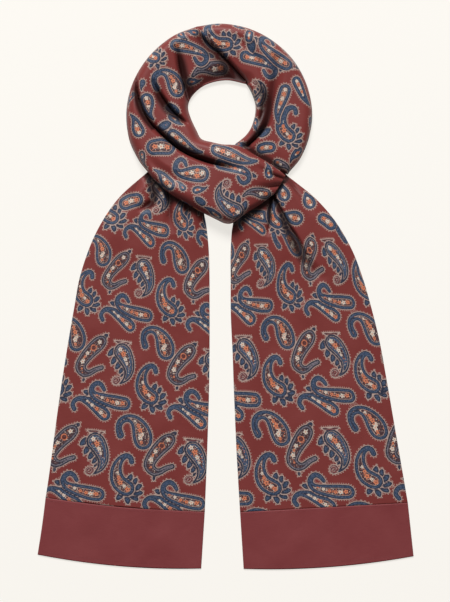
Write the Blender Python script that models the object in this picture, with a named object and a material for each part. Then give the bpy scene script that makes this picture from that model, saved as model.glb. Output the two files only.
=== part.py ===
"""A printed silk scarf laid flat: a loop round a neck opening, crossed in front, with two tails.

Units are metres with +Z up. The scarf lies on z = 0, its tails run towards -Y and its origin is
the middle of its footprint. Plan positions and heights in the tables are in millimetres.
"""

import bmesh
import bpy
import numpy as np

MM = 0.001

# Cloth
WALL = 2.4  # both faces of the scarf, pressed together
SEAM_GAP = 0.3

# Mesh fineness
CREASE_STEPS = 6  # straight steps along a crease for each row of its table
EDGE_CROWDING = 0.55  # share by which a loop's points crowd towards its edges
TAIL_ROWS = 30
TAIL_ACROSS = 22
LOOP_BACK_ROWS = 40
LOOP_FRONT_ROWS = 60
LOOP_ACROSS = 28
LOOP_UNDER = 9
END_PANEL_ROWS = 6

# Rolled edges of the loop
EDGE_ROLL = 17.0  # width over which an edge rolls up to the crown
ROLL_POWER = 2.3  # 2 is a quarter circle, and more is fuller
LEAST_CROWN = 1.0  # a crease never comes nearer than this to the top of the under layer
EDGE_STAND = 3.2  # height of the under layer that shows at the edge
EDGE_LEDGE = 1.6  # how far the under layer stands out beyond the roll
LEDGE_ROUNDING = 1.0

# Shares of the loop's width at which its underside steps down over tucked cloth, and back up
UNDER_STEPS = (0.28, 0.62)
UNDER_STEP_WIDTH = 0.12

# Share of a tail's width over which its arch falls to each folded edge
TAIL_FALL = 0.16

# Crowns are the heights of the top, and lifts those of the underside
LOOP_COLUMNS = (
    "outer_x", "outer_y", "inner_x", "inner_y",
    "outer_crown", "inner_crown", "outer_lift", "middle_lift", "inner_lift",
)

# From the crease at the top, over to the right and down, ending under the crossing
LOOP_BACK = (
    (-45.6, 427.6, 32.2, 338.1, 24, 17, 0, 0, 0),
    (-5.7, 432.1, 38.8, 327.5, 26, 20, 0, 0, 0),
    (37.2, 424.1, 44.3, 315.4, 27, 22, 0, 0, 0),
    (75.3, 404.3, 47.6, 304.3, 27, 22, 0, 0, 0),
    (107.0, 374.1, 47.6, 291.6, 26, 21, 0, 0, 0),
    (127.7, 336.0, 45.1, 278.9, 25, 20, 0, 0, 0),
    (136.4, 293.1, 40.3, 266.2, 24, 19, 0, 0, 0),
    (131.6, 253.4, 33.2, 255.8, 23, 18, 0, 0, 0),
    (118.1, 220.1, 24.5, 247.9, 21, 17, 0, 0, 0),
    (101.5, 199.5, 15.7, 240.7, 17, 12, 0, 0, 0),
    (98.0, 194.0, 6.2, 226.0, 12, 7, 0, 0, 0),
)

# From the same crease, down the left side and across the front to the pinch on the right
LOOP_FRONT = (
    (-46.0, 427.3, 31.8, 337.8, 25, 15, 0, 0, 0),
    (-83.5, 412.2, 0.6, 343.6, 27, 15, 0, 0, 0),
    (-120.0, 381.3, -31.1, 336.8, 28, 18, 0, 0, 0),
    (-145.5, 340.8, -51.8, 320.9, 28, 22, 0, 0, 0),
    (-156.3, 296.3, -60.5, 302.7, 28, 24, 0, 0, 0),
    (-152.6, 251.9, -56.5, 283.6, 28, 25, 0, 0, 0),
    (-139.9, 216.9, -47.0, 263.0, 29, 27, 5, 0, 0),
    (-124.8, 196.3, -39.2, 249.6, 30, 29, 9.8, 0, 0),
    (-107.3, 180.4, -23.0, 244.6, 32, 31, 9.8, 0, 0),
    (-85.1, 162.0, -6.0, 240.6, 34, 33, 9.8, 0, 3),
    (-61.3, 148.0, 8.0, 239.3, 36, 36, 9.8, 0, 11),
    (-37.5, 134.3, 21.3, 237.4, 37, 38, 9, 0, 16),
    (-16.5, 123.9, 33.6, 229.6, 38, 39, 8, 0, 19),
    (0.0, 116.5, 47.6, 221.2, 37, 40, 8, 0, 20),
    (13.5, 118.0, 61.0, 213.7, 36, 39, 12, 2, 20),
    (32.4, 132.0, 73.7, 205.8, 34, 37, 14, 13, 20),
    (56.2, 147.0, 84.8, 197.9, 29, 31, 14, 14, 19),
    (77.5, 163.0, 94.0, 190.0, 22, 23, 14, 14, 15),
)

TAIL_COLUMNS = ("outer_x", "outer_y", "inner_x", "inner_y", "rise")

# From the end seam up to the stretch tucked under the front wrap
TAIL_LEFT = (
    (-285.7, -329.4, -33.0, -341.6, 0),
    (-275.0, -245.0, -29.5, -252.0, 0),
    (-263.0, -156.3, -26.4, -157.0, 0),
    (-251.9, -85.0, -25.4, -80.0, 0),
    (-240.7, -19.7, -25.4, -10.0, 0.5),
    (-229.6, 37.5, -25.6, 40.0, 1.5),
    (-205.8, 101.0, -27.0, 78.0, 4),
    (-170.9, 155.0, -30.5, 112.0, 6.5),
    (-126.0, 196.0, -34.0, 133.0, 7),
    (-114.0, 209.0, -32.0, 150.0, 7),
)

TAIL_RIGHT = (
    (289.2, -327.0, 22.9, -342.0, 0),
    (280.3, -275.0, 19.5, -285.0, 0),
    (269.5, -212.6, 16.5, -229.3, 0),
    (254.7, -127.0, 13.0, -145.0, 0),
    (243.6, -67.3, 11.1, -89.9, 0.5),
    (228.5, -7.0, 8.3, -30.0, 2),
    (215.0, 37.5, 8.0, 25.0, 4.5),
    (199.1, 77.2, 7.9, 67.0, 7),
    (173.7, 120.1, 9.5, 100.0, 9),
    (143.5, 155.0, 11.0, 111.0, 10.5),
    (112.0, 181.0, 12.5, 121.0, 10.5),
    (99.0, 191.0, 14.0, 131.0, 10),
)

# Plain end panels: the corners of each hem, outer then inner
HEM_LEFT = (-298.4, -409.4, -38.7, -431.5, 0)
HEM_RIGHT = (298.4, -412.0, 28.6, -432.1, 0)
HEM_BOW = 7.3  # how far a hem's middle hangs below the straight line between its corners

# Creases: each is a soft line of (x, y, depth, reach to its left, reach to its right), walking
# from its first row to its last. Reaches are how far each flank takes to come back up.
FOLD_COLUMNS = ("x", "y", "depth", "left", "right")
CREASES = {
    "top": (
        (-42, 424, 0, 14, 14),
        (-34, 412, 8, 16, 14),
        (-2, 380, 13, 20, 14),
        (23, 350, 13, 20, 14),
        (34, 336, 9, 16, 12),
    ),
    "long_front": (
        (-139, 357, 4, 14, 12),
        (-137, 314, 13, 22, 9),
        (-122, 278, 17, 26, 9),
        (-97, 250, 19, 28, 9),
        (-72, 228, 19, 28, 9),
        (-45, 216, 17, 26, 9),
        (-17, 208, 12, 24, 11),
        (8, 203, 5, 20, 14),
        (26, 199, 0, 16, 16),
    ),
    "upper_left": (
        (-78, 392, 0, 10, 14),
        (-76, 374, 9, 12, 18),
        (-72, 352, 14, 12, 22),
        (-64, 327, 14, 12, 22),
        (-58, 306, 9, 10, 12),
    ),
    "left_roll": (
        (-107, 330, 0, 14, 14),
        (-101, 318, 7, 14, 14),
        (-86, 299, 11, 14, 14),
        (-70, 279, 8, 12, 12),
        (-62, 270, 0, 12, 12),
    ),
    "right_side": (
        (84, 372, 0, 22, 16),
        (81, 343, 7, 26, 16),
        (76, 315, 10, 26, 14),
        (66, 285, 11, 22, 12),
        (52, 260, 13, 18, 12),
        (36, 239, 12, 14, 12),
    ),
}
TAIL_CREASES = {
    "left_outer": (
        (-122, 196, 5, 12, 10),
        (-114, 150, 5, 14, 14),
        (-122, 110, 0, 24, 20),
    ),
    "left_inner": (
        (-88, 168, 5, 12, 14),
        (-87, 128, 4, 14, 18),
        (-84, 92, 0, 22, 24),
    ),
    "right_deep": (
        (72, 170, 9, 16, 10),
        (89, 125, 10, 18, 12),
        (105, 95, 8, 20, 14),
        (124, 56, 4, 26, 22),
        (162, 10, 0, 34, 30),
    ),
    "right_inner": (
        (56, 158, 5, 12, 14),
        (64, 107, 5, 16, 18),
        (60, 78, 0, 22, 20),
    ),
    "right_edge": (
        (95, 190, 5, 10, 10),
        (118, 160, 4, 12, 12),
        (150, 118, 0, 14, 14),
    ),
}

COLOURS = {
    "printed_silk": (0.22, 0.035, 0.04, 1),
    "plain_silk": (0.19, 0.045, 0.05, 1),
}
SILK_ROUGHNESS = 0.55
SHARP_ANGLE = 0.8  # radians, past which an edge stays crisp


def clear_scene():
    for old in list(bpy.data.objects):
        bpy.data.objects.remove(old, do_unlink=True)


def silk(name):
    material = bpy.data.materials.new(name)
    material.use_nodes = True
    shader = material.node_tree.nodes["Principled BSDF"]
    shader.inputs["Base Color"].default_value = COLOURS[name]
    shader.inputs["Roughness"].default_value = SILK_ROUGHNESS
    shader.inputs["Metallic"].default_value = 0.0
    return material


def smooth_rows(table, count):
    """count rows read evenly from a smooth curve through the table's own rows."""
    rows = np.array(table, float)
    if len(rows) == 2:
        share = np.linspace(0, 1, count)[:, None]
        return rows[0] + (rows[1] - rows[0]) * share
    ends = np.vstack([2 * rows[0] - rows[1], rows, 2 * rows[-1] - rows[-2]])
    place = np.linspace(0, len(rows) - 1, count)
    first = np.minimum(place.astype(int), len(rows) - 2)
    t = (place - first)[:, None]
    a, b, c, d = (ends[first + k] for k in range(4))
    return 0.5 * (
        2 * b + (c - a) * t + (2 * a - 5 * b + 4 * c - d) * t**2 + (3 * b - 3 * c + d - a) * t**3
    )


def columns(names, rows):
    """The table's columns by name, each shaped to spread across a stretch."""
    return {name: rows[:, k, None] for k, name in enumerate(names)}


def edges_of(column):
    """The plan positions of a stretch's outer and inner edges."""
    outer = np.stack([column["outer_x"], column["outer_y"]], -1)
    inner = np.stack([column["inner_x"], column["inner_y"]], -1)
    return outer, inner


def soft_step(value):
    value = np.clip(value, 0, 1)
    return value * value * (3 - 2 * value)


def crease_depth(x, y, crease):
    """How far one crease pulls the surface down at each point."""
    line = columns(FOLD_COLUMNS, smooth_rows(crease, CREASE_STEPS * len(crease)))
    path = np.concatenate([line["x"], line["y"]], -1)
    start = path[:-1]
    along = np.diff(path, axis=0)
    offset = np.stack([x, y], -1)[..., None, :] - start
    share = np.clip((offset * along).sum(-1) / (along**2).sum(-1), 0, 1)
    away = offset - share[..., None] * along
    distance = np.hypot(away[..., 0], away[..., 1])
    nearest = distance.argmin(-1)[..., None]
    distance = np.take_along_axis(distance, nearest, -1)[..., 0]
    share = np.take_along_axis(share, nearest, -1)[..., 0]
    row = nearest[..., 0]
    depth, left, right = (
        np.interp(row + share, np.arange(len(path)), line[name][:, 0])
        for name in ("depth", "left", "right")
    )
    turn = along[row]
    from_start = np.stack([x, y], -1) - start[row]
    is_left = turn[..., 0] * from_start[..., 1] - turn[..., 1] * from_start[..., 0] > 0
    reach = np.where(is_left, left, right)
    return np.maximum(depth, 0) * (1 - soft_step(distance / reach))


def total_depth(x, y, creases):
    return sum(crease_depth(x, y, crease) for crease in creases.values())


def roll(distance, width):
    """0 at an edge, 1 where the cloth has rolled up to its crown."""
    near = 1 - np.clip(distance / width, 0, 1)
    return np.sqrt(1 - near**ROLL_POWER)


def loft_mesh(name, loops, material):
    """A closed solid through closed loops of points, with both ends filled."""
    count, around = loops.shape[:2]
    points = loops.reshape(-1, 3) * MM
    faces = []
    for start in range(0, (count - 1) * around, around):
        for j in range(around):
            k = (j + 1) % around
            faces.append((start + j, start + k, start + around + k, start + around + j))
    last = (count - 1) * around
    faces.append(tuple(range(around))[::-1])
    faces.append(tuple(range(last, last + around)))
    mesh = bpy.data.meshes.new(name)
    mesh.from_pydata([tuple(p) for p in points], [], faces)
    mesh.validate()
    piece = bpy.data.objects.new(name, mesh)
    bpy.context.scene.collection.objects.link(piece)
    mesh.materials.append(material)
    face_outwards(piece)
    mesh.shade_smooth()
    mesh.set_sharp_from_angle(angle=SHARP_ANGLE)
    return piece


def face_outwards(piece):
    shape = bmesh.new()
    shape.from_mesh(piece.data)
    bmesh.ops.triangulate(shape, faces=[f for f in shape.faces if len(f.verts) > 4])
    bmesh.ops.recalc_face_normals(shape, faces=shape.faces)
    shape.to_mesh(piece.data)
    shape.free()


def loop_stretch(name, table, rows, material):
    """One rounded stretch of the loop: hidden layers in one solid, a flat underside, rolled edges."""
    column = columns(LOOP_COLUMNS, smooth_rows(table, rows))
    outer, inner = edges_of(column)
    width = np.linalg.norm(inner - outer, axis=-1)
    even = np.linspace(0, 1, LOOP_ACROSS)
    share = even + (0.5 - 0.5 * np.cos(np.pi * even) - even) * EDGE_CROWDING
    plan = outer + (inner - outer) * share[None, :, None]
    crown = column["outer_crown"] + (column["inner_crown"] - column["outer_crown"]) * share
    lift = under_lift(column, share)
    full = crown - total_depth(plan[..., 0], plan[..., 1], CREASES)
    full = np.maximum(full, lift + EDGE_STAND + LEAST_CROWN)
    rolled = roll(share * width, EDGE_ROLL) * roll((1 - share) * width, EDGE_ROLL)
    low = lift + EDGE_STAND
    top = low + (full - low) * rolled
    upper = np.concatenate([plan, top[..., None]], -1)
    sideways = (inner - outer) / width[..., None] * EDGE_LEDGE
    edges = []
    for side, end in ((-1, 0), (1, -1)):
        ledge = plan[:, end : end + 1 or None] + side * sideways
        for height in (0.0, EDGE_STAND - LEDGE_ROUNDING):
            level = lift[:, end : end + 1 or None] + height
            edges.append(np.concatenate([ledge, level[..., None]], -1))
    under_share = np.linspace(0, 1, LOOP_UNDER)[1:-1]
    under_plan = outer + (inner - outer) * under_share[None, :, None]
    under = np.concatenate([under_plan, under_lift(column, under_share)[..., None]], -1)
    loops = np.concatenate(
        [edges[0], edges[1], upper, edges[3], edges[2], under[:, ::-1]], axis=1
    )
    return loft_mesh(name, loops, material)


def under_lift(column, share):
    """How high the underside is: it rides over what is tucked below each edge, and rests between."""
    to_middle, to_inner = (soft_step((share - step) / UNDER_STEP_WIDTH) for step in UNDER_STEPS)
    lift = column["outer_lift"] + (column["middle_lift"] - column["outer_lift"]) * to_middle
    return np.maximum(lift + (column["inner_lift"] - lift) * to_inner, 0)


def tail_stretch(name, table, rows, material, bow=0.0):
    """A flat stretch of cloth: a wall that rests on the surface and arches up near the crossing."""
    column = columns(TAIL_COLUMNS, smooth_rows(table, rows))
    outer, inner = edges_of(column)
    share = np.linspace(0, 1, TAIL_ACROSS)
    plan = outer + (inner - outer) * share[None, :, None]
    down = np.linspace(0, 1, rows)[:, None]
    plan[..., 1] -= bow * down * 4 * share * (1 - share)
    rise = column["rise"] * edge_fall(share)
    arch = np.maximum(rise - total_depth(plan[..., 0], plan[..., 1], TAIL_CREASES), 0)
    upper = np.concatenate([plan, (arch + WALL)[..., None]], -1)
    lower = np.concatenate([plan, arch[..., None]], -1)
    return loft_mesh(name, np.concatenate([upper, lower[:, ::-1]], axis=1), material)


def end_panel(name, tail, hem, material):
    """The plain panel sewn to a tail's end, a seam's gap below the printed cloth."""
    outer_x, outer_y, inner_x, inner_y, rise = tail[0]
    seam = (outer_x, outer_y - SEAM_GAP, inner_x, inner_y - SEAM_GAP, rise)
    return tail_stretch(name, (seam, hem), END_PANEL_ROWS, material, bow=HEM_BOW)


def edge_fall(share):
    """1 across the middle of a tail and 0 at its two folded edges."""
    return soft_step(share / TAIL_FALL) * soft_step((1 - share) / TAIL_FALL)


def main():
    clear_scene()
    printed, plain = silk("printed_silk"), silk("plain_silk")
    loop_stretch("loop_back", LOOP_BACK, LOOP_BACK_ROWS, printed)
    loop_stretch("loop_front", LOOP_FRONT, LOOP_FRONT_ROWS, printed)
    tail_stretch("tail_left", TAIL_LEFT, TAIL_ROWS, printed)
    tail_stretch("tail_right", TAIL_RIGHT, TAIL_ROWS, printed)
    end_panel("end_left", TAIL_LEFT, HEM_LEFT, plain)
    end_panel("end_right", TAIL_RIGHT, HEM_RIGHT, plain)


main()
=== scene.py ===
"""The looks of a printed silk scarf laid flat: a loop round a neck opening and two tails.

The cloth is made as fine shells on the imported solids, from the same tables of sizes. Tables are in
millimetres, seen from above: +X to the right, +Y towards the loop, +Z up from the surface.
"""

import math

import bmesh
import bpy
import numpy as np
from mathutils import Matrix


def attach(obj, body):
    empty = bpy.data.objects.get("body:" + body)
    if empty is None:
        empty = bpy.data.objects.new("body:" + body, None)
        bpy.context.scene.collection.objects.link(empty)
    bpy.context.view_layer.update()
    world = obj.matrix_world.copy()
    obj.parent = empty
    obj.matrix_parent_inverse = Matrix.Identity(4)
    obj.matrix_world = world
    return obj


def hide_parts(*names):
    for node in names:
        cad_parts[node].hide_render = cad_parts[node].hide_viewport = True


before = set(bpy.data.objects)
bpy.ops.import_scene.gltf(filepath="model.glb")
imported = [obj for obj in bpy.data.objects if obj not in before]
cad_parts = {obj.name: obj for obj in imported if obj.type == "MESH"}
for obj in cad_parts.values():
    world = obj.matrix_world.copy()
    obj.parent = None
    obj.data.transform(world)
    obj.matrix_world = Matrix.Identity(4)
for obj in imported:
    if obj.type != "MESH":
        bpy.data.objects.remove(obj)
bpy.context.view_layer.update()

MM = 0.001

# Fineness of the cloth meshes, as the distance between points
LOOP_PITCH = 1.6
LOOP_ROWS = 1.15  # rows for each such distance along the middle, as the loop's outer edge is longer
TAIL_PITCH = 1.7
EDGE_POINTS = 14  # round each rolled edge of the loop
UNDER_POINTS = 24  # across the loop's underside
FOLD_POINTS = 6  # round each folded edge of a tail
LOOP_MEASURES = 200  # places along a loop stretch between which its length is measured
TAIL_MEASURES = 60  # and along a tail
CREASE_STEPS = 10  # straight steps along a crease for each row of its table
SPINE_STEPS = 3  # and along a motif's spine
TOP_SHARE = 0.7  # how much of its bake map a stretch's upper side has

# The flanks of a crisp crease
CANYON_WIDTH = 0.45  # share of a crisp crease's long flank that falls steeply
CANYON_DEPTH = 0.7  # share of its depth that it falls there
SHADE_WIDTH = 1.35  # how much wider the painted shade on that flank is than its fall

# The cloth
WALL = 2.4  # both faces of the scarf, pressed together
SKIN = 0.5  # one face of silk on the loop
SEAM_GAP = 0.05  # between a tail and its end panel
TUCK = 3.0  # how far the front stretch's end slips in under the back stretch
TUCK_SIZE = 0.92  # how large that end is beside the row before it
TAIL_WIDTH = 245.0  # across a tail, as the print is spaced
TAIL_ROUNDING = 2.2  # how far in from a folded long edge the tail is full thickness
TAIL_FALL = 0.16  # share of a tail's width over which its arch falls to each folded edge
HEM_BOW = 7.3  # how far a hem's middle hangs below the straight line between its corners
SEAM_RISE = {"left": 10.5, "right": 0.0}  # how far a seam's outer end curves up from its line
SEAM_RISE_SHARE = 0.62  # share of the width over which it does
SEAM_RISE_POWER = 1.5
SEAM_REACH = 60.0  # how far into the tail the cloth follows that curve

# The loop's rolled edges, and the steps in its underside, as shares of the width from the outer edge
EDGE_ROLL = 17.0  # how far in from an edge the cloth reaches its crown
ROLL_POWER = 2.3
LEAST_HEIGHT = 3.5  # a crease never comes nearer than this to the underside
UNDER_STEPS = (0.28, 0.62)
UNDER_STEP_WIDTH = 0.12

# The folded layer that shows below a rolled edge: outwards from the edge, and height
UNDER_LAYER = ((-1.1, 6.0), (-1.2, 5.3), (0.3, 4.7), (0.9, 3.4), (1.0, 2.0), (0.4, 0.6), (-1.5, 0.0))
EDGE_STAND = 6.4  # height at which the roll tucks in over that layer

# The stitches across each end panel, whose rows of points are counted from its seam or its hem
STITCH_PITCH = 3.4
STITCH_LENGTH = 2.4
STITCH_THICKNESS = 0.35
STITCH_LIFT = 0.05
STITCH_INSET = 8
STITCHED_ROWS = (2, -5)

LOOP_COLUMNS = (
    "outer_x", "outer_y", "inner_x", "inner_y",
    "outer_crown", "inner_crown", "outer_lift", "middle_lift", "inner_lift",
)

# From the crease at the top, over to the right and down, ending under the crossing
LOOP_BACK = (
    (-45.6, 427.6, 32.2, 338.1, 24, 17, 0, 0, 0),
    (-5.7, 432.1, 38.8, 327.5, 26, 20, 0, 0, 0),
    (37.2, 424.1, 44.3, 315.4, 27, 22, 0, 0, 0),
    (75.3, 404.3, 47.6, 304.3, 27, 22, 0, 0, 0),
    (107.0, 374.1, 47.6, 291.6, 26, 21, 0, 0, 0),
    (127.7, 336.0, 45.1, 278.9, 25, 20, 0, 0, 0),
    (136.4, 293.1, 40.3, 266.2, 24, 19, 0, 0, 0),
    (131.6, 253.4, 33.2, 255.8, 23, 18, 0, 0, 0),
    (118.1, 220.1, 24.5, 247.9, 21, 17, 0, 0, 0),
    (101.5, 199.5, 15.7, 240.7, 17, 12, 0, 0, 0),
    (98.0, 194.0, 6.2, 226.0, 12, 7, 0, 0, 0),
)

# From the same crease, down the left side and across the front to the pinch on the right
LOOP_FRONT = (
    (-46.0, 427.3, 31.8, 337.8, 25, 15, 0, 0, 0),
    (-83.5, 412.2, 0.6, 343.6, 27, 15, 0, 0, 0),
    (-120.0, 381.3, -31.1, 336.8, 28, 18, 0, 0, 0),
    (-145.5, 340.8, -51.8, 320.9, 28, 22, 0, 0, 0),
    (-156.3, 296.3, -60.5, 302.7, 28, 24, 0, 0, 0),
    (-152.6, 251.9, -56.5, 283.6, 28, 25, 0, 0, 0),
    (-137.8, 218.2, -47.0, 263.0, 29, 27, 5, 0, 0),
    (-122.8, 198.2, -39.2, 249.6, 30, 29, 9.8, 0, 0),
    (-107.3, 180.4, -23.0, 244.6, 32, 31, 9.8, 0, 0),
    (-85.1, 162.0, -6.0, 240.6, 34, 33, 9.8, 0, 3),
    (-61.3, 148.0, 8.0, 239.3, 36, 36, 9.8, 0, 11),
    (-37.5, 134.3, 21.3, 237.4, 37, 38, 9, 0, 16),
    (-16.5, 123.9, 33.6, 229.6, 38, 39, 8, 0, 19),
    (0.0, 116.5, 47.6, 221.2, 37, 40, 8, 0, 20),
    (13.5, 118.0, 61.0, 213.7, 36, 39, 12, 2, 20),
    (32.4, 132.0, 73.7, 205.8, 34, 37, 14, 13, 20),
    (56.2, 147.0, 84.8, 197.9, 29, 31, 14, 14, 19),
    (77.5, 163.0, 94.0, 190.0, 22, 23, 14, 14, 15),
)

TAIL_COLUMNS = ("outer_x", "outer_y", "inner_x", "inner_y", "rise")

# From the end seam up to the stretch tucked under the front wrap
TAIL_LEFT = (
    (-285.7, -329.4, -33.0, -341.6, 0),
    (-275.0, -245.0, -29.5, -252.0, 0),
    (-263.0, -156.3, -26.4, -157.0, 0),
    (-251.9, -85.0, -25.4, -80.0, 0),
    (-240.7, -19.7, -25.4, -10.0, 0.5),
    (-229.6, 37.5, -25.6, 40.0, 1.5),
    (-205.8, 101.0, -27.0, 78.0, 4),
    (-170.9, 155.0, -30.5, 112.0, 6.5),
    (-126.0, 196.0, -34.0, 133.0, 7),
    (-114.0, 209.0, -32.0, 150.0, 7),
)
TAIL_RIGHT = (
    (289.2, -327.0, 22.9, -342.0, 0),
    (280.3, -275.0, 19.5, -285.0, 0),
    (269.5, -212.6, 16.5, -229.3, 0),
    (254.7, -127.0, 13.0, -145.0, 0),
    (243.6, -67.3, 11.1, -89.9, 0.5),
    (228.5, -7.0, 8.3, -30.0, 2),
    (215.0, 37.5, 8.0, 25.0, 4.5),
    (199.1, 77.2, 7.9, 67.0, 7),
    (173.7, 120.1, 9.5, 100.0, 9),
    (143.5, 155.0, 11.0, 111.0, 10.5),
    (112.0, 181.0, 12.5, 121.0, 10.5),
    (99.0, 191.0, 14.0, 131.0, 10),
)
# The right tail slips a little further in under the loop here than its solid does
TAIL_RIGHT_TUCK = (92.0, 199.0, 15.0, 138.0, 9.8)
HEM_LEFT = (-298.4, -409.4, -38.7, -431.5, 0)
HEM_RIGHT = (298.4, -412.0, 28.6, -432.1, 0)

# Creases, each walked from its first row to its last: depth, the reach of each flank, and how crisp
# it is, from 0 for a soft valley to 1 where the shorter flank is one layer's edge lying on another
CREASE_COLUMNS = ("x", "y", "depth", "left", "right", "crisp")
LOOP_CREASES = {
    "top": (
        (-48, 430, 0, 6, 14, 0.6),
        (-38, 411, 11, 6, 22, 1),
        (-4, 381, 15, 6, 27, 1),
        (24, 350, 15, 6, 24, 1),
        (34, 337, 12, 6, 18, 1),
    ),
    "long_front": (
        (-141, 366, 0, 6, 9, 0.8),
        (-139, 331, 14, 6, 13, 1),
        (-136, 312, 18, 6, 15, 1),
        (-128, 290, 20, 7, 14, 1),
        (-117, 273, 21, 9, 12, 1),
        (-100, 254, 22, 13, 8, 1),
        (-71, 230, 22, 17, 6, 1),
        (-38, 214, 20, 18, 6, 1),
        (-10, 206, 14, 17, 7, 1),
        (10, 202, 6, 15, 10, 0.8),
        (28, 199, 0, 12, 12, 0.4),
    ),
    "upper_left": (
        (-79, 398, 0, 14, 8, 0.4),
        (-76, 378, 14, 18, 6, 1),
        (-72, 356, 19, 20, 6, 1),
        (-66, 333, 18, 18, 6, 1),
        (-59, 309, 14, 14, 6, 1),
    ),
    "left_roll": (
        (-116, 344, 0, 8, 12, 0.4),
        (-107, 328, 12, 7, 17, 0.9),
        (-97, 312, 18, 6, 20, 1),
        (-84, 295, 19, 6, 20, 1),
        (-69, 281, 14, 6, 14, 1),
        (-60, 273, 4, 6, 9, 0.8),
    ),
    "right_side": (
        (84, 384, 0, 20, 16, 0),
        (81, 360, 6, 18, 20, 0.2),
        (77, 331, 10, 14, 24, 0.5),
        (73, 302, 13, 10, 26, 0.8),
        (66, 272, 16, 7, 24, 1),
        (54, 255, 17, 6, 18, 1),
        (37, 239, 15, 6, 13, 1),
    ),
    "inner_top": (
        (-62, 300, 0, 20, 8, 0),
        (-54, 320, 10, 24, 10, 0.1),
        (-32, 334, 13, 28, 10, 0.1),
        (0, 341, 14, 28, 10, 0.1),
        (28, 337, 9, 22, 8, 0.1),
    ),
    "inner_right": (
        (46, 338, 0, 10, 8, 0),
        (57, 318, 9, 16, 9, 0.4),
        (58, 292, 9, 16, 9, 0.4),
        (48, 268, 0, 10, 8, 0),
    ),
    "pinch_upper": (
        (92, 186, 8, 7, 6, 1),
        (70, 194, 6, 11, 8, 0.8),
        (44, 208, 0, 14, 12, 0.2),
    ),
    "pinch_lower": (
        (88, 176, 6, 8, 7, 0.8),
        (66, 172, 4, 12, 9, 0.5),
        (36, 170, 0, 16, 14, 0),
    ),
    "outer_left": (
        (-128, 232, 0, 10, 10, 0),
        (-112, 208, 4, 12, 14, 0.2),
        (-84, 188, 5, 14, 16, 0.2),
        (-52, 172, 0, 16, 16, 0),
    ),
    "top_right": (
        (6, 414, 0, 12, 10, 0),
        (34, 392, 4, 16, 12, 0.2),
        (56, 366, 5, 16, 12, 0.3),
        (64, 338, 0, 14, 12, 0),
    ),
}
# Painted shadow: cloth close beside the front wrap's upper edge is darkened as if it were this deep in a
# fold
LOOP_PAINTED_SHADOWS = {
    "beside_wrap": (
        (28, 240, 13, 9, 5, 0),
        (48, 225, 17, 13, 5, 0),
        (72, 211, 18, 14, 5, 0),
        (90, 197, 17, 12, 5, 0),
        (101, 186, 14, 10, 5, 0),
    ),
}
TAIL_CREASES = {
    "left_outer": (
        (-126, 194, 11, 18, 8, 0.9),
        (-119, 166, 11, 18, 8, 0.9),
        (-118, 152, 10, 16, 8, 0.8),
        (-126, 144, 8, 14, 9, 0.5),
        (-141, 136, 0, 10, 8, 0.2),
    ),
    "left_inner": (
        (-91, 162, 8, 12, 9, 0.5),
        (-89, 131, 6, 12, 12, 0.3),
        (-84, 98, 0, 18, 16, 0),
    ),
    "left_middle": (
        (-60, 152, 4, 9, 10, 0.6),
        (-62, 122, 3, 12, 14, 0.3),
        (-66, 88, 0, 18, 18, 0),
    ),
    "left_edge": (
        (-142, 182, 4, 9, 9, 0.6),
        (-158, 148, 3, 14, 12, 0.3),
        (-176, 112, 0, 18, 18, 0),
    ),
    "right_deep": (
        (74, 164, 12, 4, 10, 1),
        (90, 135, 12, 4, 12, 1),
        (99, 116, 12, 5, 18, 1),
        (112, 96, 12, 5, 24, 1),
        (124, 73, 11, 6, 24, 1),
        (133, 54, 7, 9, 24, 0.7),
        (156, 22, 0, 18, 26, 0.1),
    ),
    "right_inner": (
        (73, 158, 11, 4, 11, 1),
        (72, 138, 10, 4, 11, 1),
        (71, 116, 7, 5, 10, 0.9),
        (66, 94, 0, 10, 12, 0.2),
    ),
    "right_edge": (
        (95, 190, 6, 8, 8, 0.9),
        (118, 160, 4, 10, 10, 0.5),
        (150, 118, 0, 14, 14, 0.2),
    ),
}

# Painted shadow: cloth close under the loop's edge is darkened as deep as if it were this far down in a
# fold
TAIL_PAINTED_SHADOWS = {
    "under_wrap": (
        (-132, 206, 14, 10, 16, 0),
        (-107, 180, 16, 10, 18, 0),
        (-85, 162, 17, 10, 19, 0),
        (-61, 148, 17, 10, 19, 0),
        (-37, 134, 17, 10, 17, 0),
        (-16, 124, 16, 10, 15, 0),
        (0, 117, 16, 10, 15, 0),
        (14, 118, 17, 10, 19, 0),
        (32, 132, 17, 10, 19, 0),
        (56, 147, 17, 10, 17, 0),
        (78, 163, 14, 8, 10, 0),
        (96, 188, 12, 6, 7, 0),
    ),
}
TAIL_PAINTED_SHADE = 1.7  # the shade painted into a tail's shallow folds is as dark as for folds this much deeper

# Slow waves in the cloth of a tail: height, and how long each is along and across
TAIL_WAVES = ((0.55, 173.0, 118.0, 0.4), (0.4, 97.0, 203.0, 1.9), (0.25, 61.0, 74.0, 4.1))

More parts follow.
